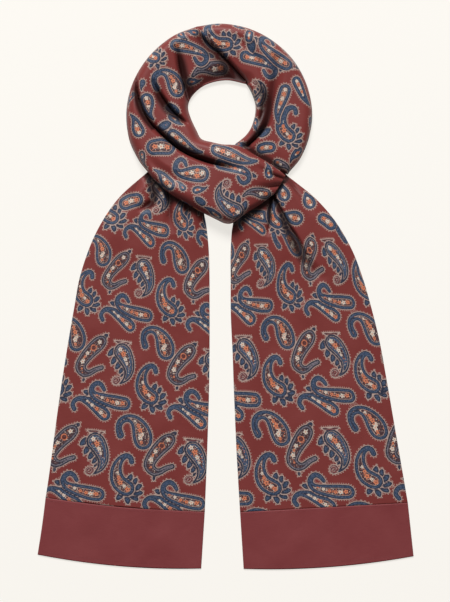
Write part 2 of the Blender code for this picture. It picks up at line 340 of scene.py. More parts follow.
# The printed motifs, each a curved spine from its tip to its round head: x, y and half the width
SPINES = {
    "upper": (
        (3.5, 23.5, 3.6), (-2, 31, 4.2), (-9.5, 33.5, 4.6), (-16.5, 27.5, 4.8), (-16.5, 19, 5.4),
        (-8.8, 12.3, 7.4), (7, 8.2, 9.8), (24, 5.2, 11.6), (38, 4, 11.2),
    ),
    "lower": (
        (-41.5, -11, 4.2), (-45.2, -4.5, 4.1), (-42, 3, 4.2), (-33.6, 6.5, 4.9), (-20.7, 2.9, 7.2),
        (-7.5, -4.2, 9.4), (3, -12, 10.2), (8, -16, 10),
    ),
    "hook": (
        (-18.6, -9.2, 6.4), (-22.3, 1.4, 5.6), (-19.7, 12.4, 6), (-9.2, 18.4, 6.6), (2.6, 15.4, 9),
        (11.5, 5, 13.4), (16.3, -7, 16.2), (17.8, -14.5, 15.2),
    ),
    "grey": (
        (19.4, -20.8, 4.6), (10.2, -24.5, 4.9), (0, -31, 5.8), (-9.5, -31, 8), (-16.6, -22.6, 9.4),
        (-13, -10.3, 10.4), (-3, 4.5, 11.8), (7, 15.5, 12.4), (12.6, 21, 10.4),
    ),
    "curl": (
        (-4, -31.5, 1.0), (0, -28.5, 2.6), (4.6, -24, 4.4), (8.6, -18, 6.2),
        (10.6, -7, 8.6), (6.5, 6, 11.8), (-0.8, 17.6, 14.2), (-4.7, 21.6, 14.2),
    ),
    "flame": (
        (6.5, 26.7, 4.8), (4.2, 33, 4.6), (-2, 35.6, 4.8), (-10.3, 30, 6), (-16, 18, 8.2),
        (-16, 4, 10.6), (-11, -7, 12.6), (-3, -13.4, 13.2), (1.6, -15.6, 12.6),
    ),
    "drop": ((2, -26, 2.2), (-1.5, -18, 4.4), (-2, -8, 8), (0, 2, 11.4), (0, 8, 12)),
    "oval": ((-9, -1, 11.4), (0, 0.5, 12), (9, 0, 11.4)),
    "bud": ((-14, 9, 1.5), (-10, 6, 5), (-4, 2.5, 9), (1, 0, 12), (4.5, -1.5, 12.4)),
    "long": ((-34, -3, 3), (-26, 0.5, 5), (-14, 2, 7.6), (0, 1, 9.6), (14, -0.5, 10.8), (22, -1, 10.6)),
    "comma": ((-4, -25, 2.4), (-6.5, -17, 4.2), (-5, -8, 6.4), (0, 1, 8.4), (3, 7, 8.2)),
    "swan": (
        (-4, 9, 3.2), (-7, 16, 3.8), (-13.4, 18.6, 4.2), (-19.5, 12.5, 4.6), (-20.5, 3, 5.2),
        (-13, -3.5, 7), (-2, -4.5, 10.4), (10, -4.5, 13.2), (19, -5, 13.6),
    ),
    "leaf": ((-1.6, 0, 4.8), (2.6, 0, 5), (6.6, 0, 3.4), (9.8, 0, 0.9)),
    "coil": ((-9.6, -26.4, 7.2), (-9, -26, 7.2)),
    "cap": ((-20.5, 38.5, 0.5), (-14, 36.5, 2.2), (-5, 36, 3), (4, 36, 2.2), (10.5, 37.5, 0.5)),
}

# The lattice holds a pair of motifs at each of its points, and these beside them: motif, x and y
REPEAT_ACROSS = (155.6, 0.0)
REPEAT_ALONG = (29.0, 146.7)
REPEAT = (
    ("upper", 0, 0),
    ("lower", 0, 0),
    ("hook", 54.9, -36.5),
    ("grey", 101.8, -67.1),
    ("curl", 1.9, -80.4),
    ("flame", 50.8, -113.1),
)

# Small leaves round a motif: motif, x and y where each starts, degrees from +X that it points, size
LEAVES = (
    ("upper", -21.5, 16.5, 165, 1.0),
    ("grey", -8, -41, -95, 0.6),
    ("grey", 16.5, 27.5, 42, 1.0),
    ("curl", -20.5, 21, 226, 1.15),
    ("curl", -16.2, 8, 246, 1.0),
    ("curl", -8, 0.4, 243, 1.0),
    ("curl", -2, -7.5, 240, 0.85),
    ("curl", 0.5, -14.5, 235, 0.65),
    ("flame", 4.6, -1.5, 68, 1.0),
    ("flame", 11.2, -6.5, 55, 1.05),
    ("flame", 16.2, -13.5, 32, 1.1),
    ("flame", 17, -21.4, 4, 1.1),
    ("flame", 12.6, -27, -38, 1.1),
    ("flame", 4, -30.2, -80, 1.1),
    ("flame", -6.4, -27.4, -128, 1.05),
)
# Little flowers inside a motif: motif, x, y, size, and which of these looks each has
FLOWER_LOOKS = {"orange": 0, "cream": 1, "ring": 2}
FLOWERS = (
    ("upper", -7, 14.5, 0.6, 0), ("upper", 1.5, 10.8, 0.85, 1), ("upper", 10.6, 7.4, 0.9, 0),
    ("upper", 19.4, 5.2, 0.9, 0), ("upper", 27, 4.4, 1.1, 1), ("upper", 35.4, 4.6, 1.1, 0),
    ("lower", -22, 3.6, 0.6, 1), ("lower", -13.6, -2.2, 0.9, 1), ("lower", -5.4, -7.6, 1.0, 0),
    ("lower", 1.8, -13, 1.0, 1), ("lower", 8.4, -18, 1.0, 0),
    ("hook", 3.2, 14.6, 0.6, 1), ("hook", 8.6, 8.8, 0.9, 0), ("hook", 12, 1.4, 1.25, 0),
    ("hook", 16.6, -5.6, 0.8, 1), ("hook", 13.4, -10.4, 1.2, 1), ("hook", 15.6, -18, 0.8, 0),
    ("grey", 10.4, 20.4, 1.15, 1), ("grey", 1.2, 10.2, 1.95, 2),
    ("grey", -8, 0.6, 1.05, 1), ("grey", -14.4, -13.6, 1.2, 1), ("grey", -11.8, -6, 0.6, 0),
    ("grey", -13.8, -25, 0.6, 0),
    ("curl", -8, 25, 1.2, 1), ("curl", -1.6, 18, 1.3, 0), ("curl", 2.6, 9.8, 1.1, 1),
    ("curl", 6, 2, 0.7, 1),
    ("flame", -14.4, 8, 0.7, 1), ("flame", -12, 0.4, 0.9, 0), ("flame", -9, -7.4, 1.3, 0),
    ("flame", -2.4, -12.4, 0.9, 1), ("flame", 3.4, -17.4, 1.2, 0),
    ("drop", -0.6, -2.6, 0.8, 1), ("drop", 0.4, 4, 1.2, 0), ("drop", 0, 11.6, 1.0, 1),
    ("oval", -8.4, 0, 1.1, 0), ("oval", 0.4, 0.6, 1.2, 1), ("oval", 9, 0, 1.1, 0),
    ("bud", -4, 2.5, 0.8, 1), ("bud", 2.4, -1, 1.2, 0), ("bud", 9, -3, 0.8, 1),
    ("swan", -10, -3.6, 0.7, 1), ("swan", -3, -3.6, 0.9, 0), ("swan", 5, -2.4, 1.2, 1),
    ("swan", 13, -7.5, 1.2, 0), ("swan", 21.5, -3, 1.2, 1), ("swan", 13.4, 1.8, 0.9, 0),
    ("comma", 0.6, 0, 0.9, 1), ("comma", 2.8, 7.2, 0.9, 0),
    ("long", -9, 2, 0.7, 1), ("long", -1.4, 0.8, 0.9, 0), ("long", 6.6, 0.2, 1.0, 1),
    ("long", 14.8, -0.6, 1.1, 0), ("long", 22.6, -1, 1.0, 1),
)

# How the motifs lie on the loop, where the twist of the cloth turns each its own way: motif, x, y,
# turn in degrees, size, and whether it is mirrored
LOOP_MOTIFS = (
    ("upper", -44, 397, 175, 0.90, False),
    ("flame", -112, 386, 10, 0.75, False),
    ("drop", -69, 412, 50, 0.50, False),
    ("drop", -52, 417, -100, 0.50, False),
    ("flame", -7, 409, 30, 0.90, False),
    ("drop", 21, 426, 60, 0.50, False),
    ("hook", -93, 338, 5, 0.88, False),
    ("drop", -122, 302, 16, 0.95, False),
    ("leaf", -86, 297, -30, 1.6, False),
    ("drop", -80, 280, 50, 0.62, False),
    ("comma", -18, 360, -62, 1.40, False),
    ("drop", -51, 340, 100, 0.55, False),
    ("oval", 37, 411, 80, 0.55, False),
    ("leaf", 40, 399, -80, 1.5, False),
    ("upper", 62, 379, -27, 0.95, False),
    ("upper", 66, 377, 172, 0.90, False),
    ("curl", 53, 321, 182, 0.64, True),
    ("long", 88, 306, 76, 0.92, False),
    ("long", 120, 324, 120, 0.78, False),
    ("flame", 101, 267, -10, 0.88, False),
    ("oval", 64, 235, 4, 0.78, False),
    ("drop", 112, 225, -40, 0.66, False),
    ("drop", 134, 276, 0, 0.45, False),
    ("drop", 47, 272, 10, 0.50, False),
    ("leaf", 59, 258, 30, 1.4, False),
    ("drop", 23, 241, 80, 0.45, False),
    ("comma", 87, 209, 40, 0.80, True),
    ("oval", -102, 235.5, -3, 1.15, False),
    ("drop", -140, 267, 205, 0.88, False),
    ("drop", -150, 313, 10, 0.55, False),
    ("drop", -131, 334, -10, 0.42, False),
    ("comma", -131, 219, 30, 0.70, False),
    ("long", -66, 242, 147, 0.95, False),
    ("leaf", -98, 268, 30, 1.5, False),
    ("leaf", -90, 262, -60, 1.4, False),
    ("long", 11, 222, 161, 1.12, False),
    ("upper", 25, 207, 172, 0.85, False),
    ("swan", -58, 197, 0, 1.00, False),
    ("drop", -95, 182, -140, 0.95, False),
    ("curl", 3, 151, 203, 0.95, False),
    ("comma", 55, 162, -72, 1.08, False),
    ("drop", 67, 196, -172, 0.62, False),
    ("drop", -18, 130, -132, 0.72, False),
    ("leaf", -38, 148, 140, 1.3, False),
    ("drop", -42, 168, 105, 0.55, False),
    ("drop", -69, 173, -140, 0.45, False),
)
FILL_CLEARANCE = 46.0  # the repeat fills the loop's hidden sides where no motif above is this near

# Motifs at the top of each tail, where the gathers draw them out of the repeat, in the same columns
TAIL_MOTIFS = {
    "left": (
        ("oval", -150, 151, 15, 1.0, False),
        ("flame", -181, 139, 0, 0.9, False),
        ("curl", -103, 156, 0, 0.75, False),
    ),
    "right": (
        ("bud", 91, 164, -50, 0.85, False),
        ("bud", 131, 152, -40, 0.85, False),
        ("bud", 107, 125, 5, 0.95, False),
        ("oval", 161, 119, -40, 0.85, False),
        ("flame", 83, 127, -8, 0.72, False),
    ),
}
TAIL_CLEARANCE = 32.0  # the repeat starts this far from them

# Where a pair of motifs lies on each tail, across from its middle and along it
PAIR_PLACE = {"left": (-55.6, -188.4), "right": (20.1, -181.5)}
TAIL_LEAN = {"left": 5.0, "right": -4.5}  # degrees that the top of each tail leans to the right

# How far the folds draw the print from its even repeat, at each height on a tail's two edges
SLIP_COLUMNS = ("y", "outer_right", "inner_right", "outer_up", "inner_up")
PRINT_SLIP = {
    "left": (
        (-330, 3, 3, 1, 0),
        (-160, 1, 3, 1, 1),
        (-70, 3, 1, 0, -3),
        (-15, 0, -3, 1, -8),
        (45, -3, -6, -8, -11),
        (75, -9, -9, -11, -14),
        (115, -28, -20, -15, -13),
        (160, -40, -30, -18, -14),
    ),
    "right": (
        (-330, 5, 15, -2, 2),
        (-230, 5, 13, 1, 5),
        (-150, -3, 8, 3, 13),
        (-60, -5, 8, 4, 13),
        (10, -3, 22, 5, 13),
        (60, 1, 34, 6, 10),
        (110, 5, 22, 10, 4),
        (160, 5, 16, 10, 0),
    ),
}

# Sizes in the print, in millimetres
OVERLAP_GAP = 0.4  # ground left round a motif where another comes near it
BEAD_PITCH = 3.6
BEAD_RADIUS = 0.7
BEAD_PLACE = 1.8  # from a motif's outline to the middles of its beads
BEAD_INK = 0.85  # how strongly they print
COIL_PITCH = 3.2  # from one turn of a coil to the next
COIL_LINE = (0.5, 1.5)  # where its line lies in each turn
FLOWER_REACH = 6.4  # as far as the nearest flower is looked for
PETALS = 5.0
PETAL_RADIUS = 2.8
PETAL_WAVE = 0.6  # how far the petals' edge waves out and in from there
HEART_RADIUS = 0.8
RING_HEART = 1.95  # the wider heart of a flower that is a ring
FAR = 99.0  # farther than any motif reaches
OUT_OF_REACH = 2000.0  # a place where no motif is drawn
PRINT_MARGIN = 50.0  # how far beside a tail a motif of the repeat may still reach it

KINDS = {"blue": 0, "leaf": 1, "grey": 2, "full": 3, "coil": 4, "cap": 5}
KIND_OF = {"grey": "grey", "comma": "grey", "curl": "full", "leaf": "leaf"}  # the others are blue
BEHIND = {"curl": ("coil", "cap")}  # parts drawn behind a motif

# Silk dyes, as sRGB, and the colour of the shade painted into deep folds
GROUND = "#732d2a"
GROUND_WORN = "#7e3835"
PLAIN = "#783234"
PLAIN_WORN = "#823d3e"
BLUE = "#3b4e68"
NAVY = "#262c3e"
SLATE = "#2f3038"
FIELD = "#482f33"
OUTLINE = "#b39c91"
LILAC = "#7b727a"
HEART = "#5a2a26"
# Not a dye: painted shade, laid over the cloth's colour where it lies deep in a fold or under an edge
PAINTED_FOLD_SHADE = "#1e0e0d"
ORANGE = "#d17b57"
CREAM = "#d2c5b6"
THREAD = "#6b2a30"
SHEEN = "#d8b0a8"

# The stage: a floor of pale paper whose edge shows only as the horizon, and a camera straight above
FLOOR = "#84827f"
FLOOR_GLOW = "#dfdcd6"
FLOOR_HALF_SIZE = 30.0  # in metres
CAMERA_PLACE = (-0.95, -7.0, 3000.0)
CAMERA_LENS = 113.0


def rgb(code):
    """sRGB hex to the linear colour that a socket takes."""
    parts = [int(code[k : k + 2], 16) / 255 for k in (1, 3, 5)]
    return [c / 12.92 if c <= 0.04045 else ((c + 0.055) / 1.055) ** 2.4 for c in parts] + [1.0]


def blend(start, end, share):
    """From start to end as the share goes from 0 to 1."""
    return start + (end - start) * share


def smooth_rows(table, count):
    """count rows read evenly from a smooth curve through the table's own rows."""
    rows = np.array(table, float)
    if len(rows) == 2:
        return blend(rows[0], rows[1], np.linspace(0, 1, count)[:, None])
    ends = np.vstack([2 * rows[0] - rows[1], rows, 2 * rows[-1] - rows[-2]])
    place = np.linspace(0, len(rows) - 1, count)
    first = np.minimum(place.astype(int), len(rows) - 2)
    t = (place - first)[:, None]
    a, b, c, d = (ends[first + k] for k in range(4))
    return 0.5 * (
        2 * b + (c - a) * t + (2 * a - 5 * b + 4 * c - d) * t**2 + (3 * b - 3 * c + d - a) * t**3
    )


def columns(names, rows):
    """The table's columns by name, each shaped to spread across a stretch."""
    return {name: rows[:, k, None] for k, name in enumerate(names)}


def edges_of(column):
    """The plan positions of a stretch's outer and inner edges."""
    outer = np.stack([column["outer_x"], column["outer_y"]], -1)
    inner = np.stack([column["inner_x"], column["inner_y"]], -1)
    return outer, inner


def soft_step(value):
    """0 up to 0 and 1 from 1, with no corner between them."""
    value = np.clip(value, 0, 1)
    return value * value * (3 - 2 * value)


def length_along(points):
    """How far each point is along the line that joins them."""
    steps = np.linalg.norm(np.diff(points, axis=0), axis=-1)
    return np.concatenate([[0], np.cumsum(steps)])


def middle_length(table, count):
    """How long a stretch is along its middle."""
    rows = smooth_rows(table, count)
    return length_along((rows[:, 0:2] + rows[:, 2:4]) / 2)[-1]


def nearest_on_line(x, y, path):
    """Where points lie beside each straight step of a path.

    It gives the share along the step, the distance off it, the offset from its start, and its run.
    """
    along = np.diff(path, axis=0)
    offset = np.stack([x, y], -1)[..., None, :] - path[:-1]
    share = np.clip((offset * along).sum(-1) / (along**2).sum(-1), 0, 1)
    away = offset - share[..., None] * along
    return share, np.hypot(away[..., 0], away[..., 1]), offset, along


def crease_depth(x, y, crease):
    """How far one crease pulls the surface down at each point, and how deep in its painted shade that
    point lies.
    """
    line = columns(CREASE_COLUMNS, smooth_rows(crease, CREASE_STEPS * len(crease)))
    path = np.concatenate([line["x"], line["y"]], -1)
    most = max(line["left"].max(), line["right"].max())
    near = (x > path[:, 0].min() - most) & (x < path[:, 0].max() + most)
    near &= (y > path[:, 1].min() - most) & (y < path[:, 1].max() + most)
    depths, shades = np.zeros_like(x), np.zeros_like(x)
    share, distance, offset, along = nearest_on_line(x[near], y[near], path)
    step = distance.argmin(-1)
    rows = np.arange(len(step))
    place = step + share[rows, step]
    depth, left, right, crisp = (
        np.interp(place, np.arange(len(path)), line[name][:, 0])
        for name in ("depth", "left", "right", "crisp")
    )
    turn, start = along[step], offset[rows, step]
    is_left = turn[:, 0] * start[:, 1] - turn[:, 1] * start[:, 0] > 0
    reach, other = np.where(is_left, left, right), np.where(is_left, right, left)
    down = 1 - np.clip(distance[rows, step] / reach, 0, 1)
    rounded_edge = 1 - np.sqrt(1 - down**2)
    canyon = soft_step((down - 1 + CANYON_WIDTH) / CANYON_WIDTH)
    hollow = CANYON_DEPTH * canyon + (1 - CANYON_DEPTH) * down**2
    soft_flank = soft_step(down)
    for result, long_flank in ((depths, hollow), (shades, soft_step(SHADE_WIDTH * down))):
        crisp_flank = np.where(reach < other, rounded_edge, long_flank)
        result[near] = np.maximum(depth, 0) * blend(soft_flank, crisp_flank, crisp)
    return np.stack([depths, shades])


def total_depth(x, y, creases):
    """The depths and the shades of several creases together."""
    return sum(crease_depth(x, y, crease) for crease in creases.values())


def roll(distance, width):
    """0 at an edge, 1 where the cloth has rolled up to its crown."""
    near = 1 - np.clip(distance / width, 0, 1)
    return np.sqrt(1 - near**ROLL_POWER)


def under_lift(column, share):
    """How high the underside is: it rides over what is tucked below each edge, and rests between."""
    to_middle, to_inner = (soft_step((share - step) / UNDER_STEP_WIDTH) for step in UNDER_STEPS)
    lift = blend(column["outer_lift"], column["middle_lift"], to_middle)
    return np.maximum(blend(lift, column["inner_lift"], to_inner), 0)


def loop_shares(width, across):
    """Where the points lie across each row of the loop: close together round the rolled edges."""
    turn = np.linspace(0, math.pi / 2, EDGE_POINTS, endpoint=False)
    edge = EDGE_ROLL * (1 - np.cos(turn)) / width
    middle = np.linspace(0, 1, across) * (1 - 2 * EDGE_ROLL / width) + EDGE_ROLL / width
    return np.concatenate([edge, middle, 1 - edge[:, ::-1]], axis=1)


def loop_surface(table):
    """Points, cloth places and shade of one rounded stretch of the loop, a row at a time."""
    rows = int(middle_length(table, LOOP_MEASURES) / LOOP_PITCH * LOOP_ROWS)
    column = columns(LOOP_COLUMNS, smooth_rows(table, rows))
    outer, inner = edges_of(column)
    width = np.linalg.norm(inner - outer, axis=-1)
    share = loop_shares(width, int(width.max() / LOOP_PITCH))
    plan = blend(outer, inner, share[..., None])
    x, y = plan[..., 0], plan[..., 1]
    depth, shade = total_depth(x, y, LOOP_CREASES)
    # Painted shadow beside the wrap's edge, on the back stretch only
    if table is LOOP_BACK:
        shade += total_depth(x, y, LOOP_PAINTED_SHADOWS)[1]
    lift = under_lift(column, share)
    crown = blend(column["outer_crown"], column["inner_crown"], share)
    full = np.maximum(crown - depth, lift + LEAST_HEIGHT)
    rolled = roll(share * width, EDGE_ROLL) * roll((1 - share) * width, EDGE_ROLL)
    top = np.concatenate([plan, blend(lift + EDGE_STAND, full, rolled)[..., None]], -1)
    inwards = (inner - outer)[:, 0] / width
    sides = []
    for end, way in ((0, -1), (-1, 1)):
        layer = [
            np.column_stack([plan[:, end] + inwards * way * out, lift[:, end] + height])
            for out, height in UNDER_LAYER
        ]
        sides.append(np.stack(layer, axis=1))
    under_share = np.linspace(0, 1, UNDER_POINTS)[1:-1]
    under_plan = blend(outer, inner, under_share[None, :, None])
    under = np.concatenate([under_plan, under_lift(column, under_share)[..., None]], -1)
    around = np.concatenate([top, sides[1], under[:, ::-1], sides[0][:, ::-1], top[:, :1]], axis=1)
    return around, loop_cloth_places(around, top.shape[1], inwards), shade


def loop_cloth_places(around, top_count, inwards):
    """Each point's place in the cloth: its plan place on top, and laid out flat from the rolls on."""
    steps = np.linalg.norm(np.diff(around, axis=1), axis=-1)
    flat_top = slice(EDGE_POINTS, top_count - EDGE_POINTS)
    steps[:, flat_top] = np.linalg.norm(np.diff(around[..., :2], axis=1), axis=-1)[:, flat_top]
    reach = np.concatenate([np.zeros((len(around), 1)), np.cumsum(steps, axis=1)], axis=1)
    middle = top_count // 2
    reach = reach - reach[:, middle : middle + 1]
    return around[:, middle : middle + 1, :2] + inwards[:, None, :] * reach[..., None]


def tucked_in(rows, cloth, shade):
    """Adds a smaller copy of the first row ahead of it, which slips in under the stretch beside it."""
    middle = rows[0].mean(0)
    ahead = middle - rows[1].mean(0)
    copy = middle + (rows[0] - middle) * TUCK_SIZE + ahead / np.linalg.norm(ahead) * TUCK
    both = ((copy[None], rows), (cloth[:1], cloth), (shade[:1], shade))
    return [np.concatenate(pair) for pair in both]


def edge_fall(share):
    """1 across the middle of a tail and 0 at its two folded edges."""
    return soft_step(share / TAIL_FALL) * soft_step((1 - share) / TAIL_FALL)


def tail_shares(across):
    """Where the points lie across a tail: closer together round its folded edges."""
    turn = np.linspace(0, math.pi / 2, FOLD_POINTS, endpoint=False)
    inset = TAIL_ROUNDING / TAIL_WIDTH
    edge = inset * (1 - np.cos(turn))
    return np.concatenate([edge, np.linspace(inset, 1 - inset, across), 1 - edge[::-1]])


def waves(x, y):
    """How high the slow waves of a tail are at each point."""
    return sum(
        height * np.sin(2 * math.pi * x / across + phase) * np.cos(2 * math.pi * y / along + 2 * phase)
        for height, along, across, phase in TAIL_WAVES
    )


def seam_curve(side, share):
    """How far the seam lies above its straight line: most at its outer end."""
    return SEAM_RISE[side] * np.clip(1 - share / SEAM_RISE_SHARE, 0, 1) ** SEAM_RISE_POWER


def print_slip(side, height, share):
    """How far right and up the print lies from its even repeat."""
    rows = np.array(PRINT_SLIP[side], float)
    slip = {name: np.interp(height, rows[:, 0], rows[:, k]) for k, name in enumerate(SLIP_COLUMNS)}
    right = blend(slip["outer_right"], slip["inner_right"], share)
    up = blend(slip["outer_up"], slip["inner_up"], share)
    return np.stack([right, up], -1)


def there_and_back(upper, lower):
    """Rows across the upper side of a tail and back across its lower side."""
    return np.concatenate([upper, lower[:, -2::-1]], axis=1)


def tail_surface(table, side, bow=0.0):
    """Points, cloth places and shade of a flat double layer with folded edges, a row at a time."""
    length = middle_length(table, TAIL_MEASURES)
    rows = int(length / TAIL_PITCH)
    column = columns(TAIL_COLUMNS, smooth_rows(table, rows))
    outer, inner = edges_of(column)
    share = tail_shares(int(TAIL_WIDTH / TAIL_PITCH))
    plan = blend(outer, inner, share[None, :, None])
    down = np.linspace(0, 1, rows)[:, None]
    plan[..., 1] -= bow * down * 4 * share * (1 - share)
    plan[..., 1] += seam_curve(side, share) * np.clip(1 - down * length / SEAM_REACH, 0, 1) ** 2
    x, y = plan[..., 0], plan[..., 1]
    depth, shade = total_depth(x, y, TAIL_CREASES)
    middle = np.maximum(column["rise"] * edge_fall(share) - depth, 0) + WALL / 2
    from_edge = np.minimum(share, 1 - share) * TAIL_WIDTH
    puff = WALL / 2 * np.sqrt(1 - (1 - np.clip(from_edge / TAIL_ROUNDING, 0, 1)) ** 2)
    lift = np.maximum(waves(x, y), 0) * edge_fall(share)
    upper = np.concatenate([plan, (middle + puff + lift)[..., None]], -1)
    lower = np.concatenate([plan, (middle - puff)[..., None]], -1)
    way = 1 if side == "left" else -1
    across = np.concatenate([share, 2 - share[-2::-1]]) - 0.5
    lean = math.radians(TAIL_LEAN[side])
    up = plan @ np.array([math.sin(lean), math.cos(lean)])
    cloth = np.stack(np.broadcast_arrays(way * across * TAIL_WIDTH, there_and_back(up, up)), -1)
    slip = print_slip(side, y, share)
    cloth -= there_and_back(slip, slip)
    # Painted shade: the folds' shade made darker, and the painted shadow under the wrap's edge added
    shade = shade * TAIL_PAINTED_SHADE + total_depth(x, y, TAIL_PAINTED_SHADOWS)[1]
    return there_and_back(upper, lower), cloth, shade


def spine_of(motif):
    """A motif's smooth spine and its half widths."""
    rows = smooth_rows(SPINES[motif], SPINE_STEPS * len(SPINES[motif]))
    return rows[:, :2], rows[:, 2]


def turned(points, degrees, size, is_mirrored):
    """Points of a motif, mirrored left to right, turned and sized."""
    angle = math.radians(degrees)
    points = np.atleast_2d(np.array(points, float)) * (size * (-1 if is_mirrored else 1), size)
    return points @ np.array(
        [[math.cos(angle), math.sin(angle)], [-math.sin(angle), math.cos(angle)]]
    )


def motif_distance(places, spine, half):
    """How far each place is outside a motif's outline, and how far along that outline it is."""
    share, distance, offset, along = nearest_on_line(places[:, 0], places[:, 1], spine)
    halves = blend(half[:-1], half[1:], share)
    step = (distance - halves).argmin(-1)
    rows = np.arange(len(step))
    lengths = np.linalg.norm(along, axis=-1)
    before = length_along(spine)
    turn, start, share = along[step], offset[rows, step], share[rows, step]
    side = turn[:, 0] * start[:, 1] - turn[:, 1] * start[:, 0]
    forward = (turn * start).sum(-1) / lengths[step] - share * lengths[step]
    sideways = side / lengths[step]
    round_head = np.arctan2(forward, np.abs(sideways)) * halves[rows, step]
    outline = before[step] + share * lengths[step] + round_head
    outline = np.where(side < 0, 2 * before[-1] + math.pi * half[-1] - outline, outline)
    return (distance - halves)[rows, step], outline


class Print:
    """The print's nearest motif and flower at each place of a stretch of cloth."""

    def __init__(self, places):
        self.places = places.reshape(-1, 2)
        count = len(self.places)
        self.distance = np.full(count, FAR)
        self.outline = np.zeros(count)
        self.kind = np.zeros(count)
        self.flower = np.tile([FAR, FAR, 0.0], (count, 1))
        self.flower_distance = np.full(count, FAR)

    def near(self, centre, reach):
        """Which places are that near."""
        return np.flatnonzero(np.hypot(*(self.places - centre).T) < reach)

    def draw_spine(self, spine, half, kind):
        """One motif's body, where it is nearer than what is drawn so far."""
        centre = spine.mean(0)
        reach = np.hypot(*(spine - centre).T).max() + half.max() + 2 * BEAD_PLACE
        where = self.near(centre, reach)
        if not len(where):
            return
        distance, outline = motif_distance(self.places[where], spine, half)
        distance = np.maximum(distance, OVERLAP_GAP - self.distance[where])
        wins = distance < self.distance[where]
        where = where[wins]
        self.distance[where] = distance[wins]
        self.outline[where] = outline[wins]
        self.kind[where] = KINDS[kind]

    def draw_flower(self, centre, size, look):
        """One flower, where it is the nearest."""
        where = self.near(centre, FLOWER_REACH)
        offset = (self.places[where] - centre) / size
        distance = np.hypot(*offset.T)
        wins = distance < self.flower_distance[where]
        where = where[wins]
        self.flower_distance[where] = distance[wins]
        self.flower[where] = np.column_stack([offset[wins], np.full(len(where), look)])

    def draw(self, motif, centre, turn=0.0, size=1.0, is_mirrored=False):
        """One motif with its flowers, then its leaves behind it."""
        parts = [(motif, KIND_OF.get(motif, "blue")), *((part, part) for part in BEHIND.get(motif, ()))]
        for part, kind in parts:
            spine, half = spine_of(part)
            self.draw_spine(centre + turned(spine, turn, size, is_mirrored), half * size, kind)
        for name, x, y, flower_size, look in FLOWERS:
            if name == motif:
                place = centre + turned((x, y), turn, size, is_mirrored)[0]
                self.draw_flower(place, flower_size * size, look)
        leaf, leaf_half = spine_of("leaf")
        for name, x, y, points, leaf_size in LEAVES:
            if name == motif:
                spine = np.array([x, y]) + turned(leaf, points, leaf_size, False)
                spine = centre + turned(spine, turn, size, is_mirrored)
                self.draw_spine(spine, leaf_half * leaf_size * size, "leaf")


def lattice_places(low, high, origin):
    """Every motif of the repeat whose place lies between two corners."""
    across, along = np.array(REPEAT_ACROSS), np.array(REPEAT_ALONG)
    farthest = np.abs([low - origin, high - origin]).max()
    reach = 2 + int(farthest / min(along[1], across[0]))
    for motif, x, y in REPEAT:
        for i in range(-reach, reach + 1):
            for j in range(-reach, reach + 1):
                place = origin + i * across + j * along + (x, y)
                if (place > low).all() and (place < high).all():
                    yield motif, place


def print_on_tail(points, cloth, top_count, side):
    """The tail's own listed motifs at its top, and the repeat, laid from its pair of motifs."""
    plan = np.full(cloth.shape, OUT_OF_REACH)
    plan[:, :top_count] = points[:, :top_count, :2]
    drawn = Print(plan)
    plan = drawn.places
    by_hand = np.array([(x, y) for _, x, y, *_ in TAIL_MOTIFS[side]])
    for motif, x, y, turn, size, is_mirrored in TAIL_MOTIFS[side]:
        drawn.draw(motif, np.array([x, y]), turn, size, is_mirrored)
    drawn.places = cloth.reshape(-1, 2)
    low, high = drawn.places.min(0) - PRINT_MARGIN, drawn.places.max(0) + PRINT_MARGIN
    for motif, place in lattice_places(low, high, np.array(PAIR_PLACE[side])):
        nearest = np.hypot(*(drawn.places - place).T).argmin()
        if np.hypot(*(by_hand - plan[nearest]).T).min() > TAIL_CLEARANCE:
            drawn.draw(motif, place)
    return drawn


def print_on_loop(points, cloth, top_count):
    """The loop's own listed motifs on top, and the repeat on the sides where they leave room."""
    drawn = Print(cloth)
    top_plan = points[:, :top_count, :2].reshape(-1, 2)
    top_cloth = cloth[:, :top_count].reshape(-1, 2)
    taken = []
    for motif, x, y, turn, size, is_mirrored in LOOP_MOTIFS:
        away = np.hypot(*(top_plan - (x, y)).T)
        nearest = away.argmin()
        place = top_cloth[nearest] + np.array([x, y]) - top_plan[nearest]
        taken.append(place)
        drawn.draw(motif, place, turn, size, is_mirrored)
    taken = np.array(taken)
    low, high = drawn.places.min(0), drawn.places.max(0)
    for motif, place in lattice_places(low, high, low):
        if np.hypot(*(taken - place).T).min() > FILL_CLEARANCE:
            drawn.draw(motif, place)
    return drawn


def add_corner_layer(mesh, name, values, corners):
    layer = mesh.attributes.new(name, "FLOAT_VECTOR", "CORNER")
    layer.data.foreach_set("vector", values[corners].astype(np.float32).ravel())


def add_uv_map(mesh, name, values, corners):
    layer = mesh.uv_layers.new(name=name)
    layer.data.foreach_set("uv", values[corners].astype(np.float32).ravel())


def bake_map(rows, around, top_count):
    """A map of the whole stretch that gives its top most of the room."""
    across = np.concatenate(
        [np.linspace(0, TOP_SHARE, top_count), np.linspace(TOP_SHARE, 1, around - top_count + 1)[1:]]
    )
    grid = np.meshgrid(across, np.linspace(0, 1, rows))
    return np.stack(grid, -1).reshape(-1, 2)


def new_object(name, data):
    """An object of its own in the scene."""
    made = bpy.data.objects.new(name, data)
    bpy.context.scene.collection.objects.link(made)
    return made


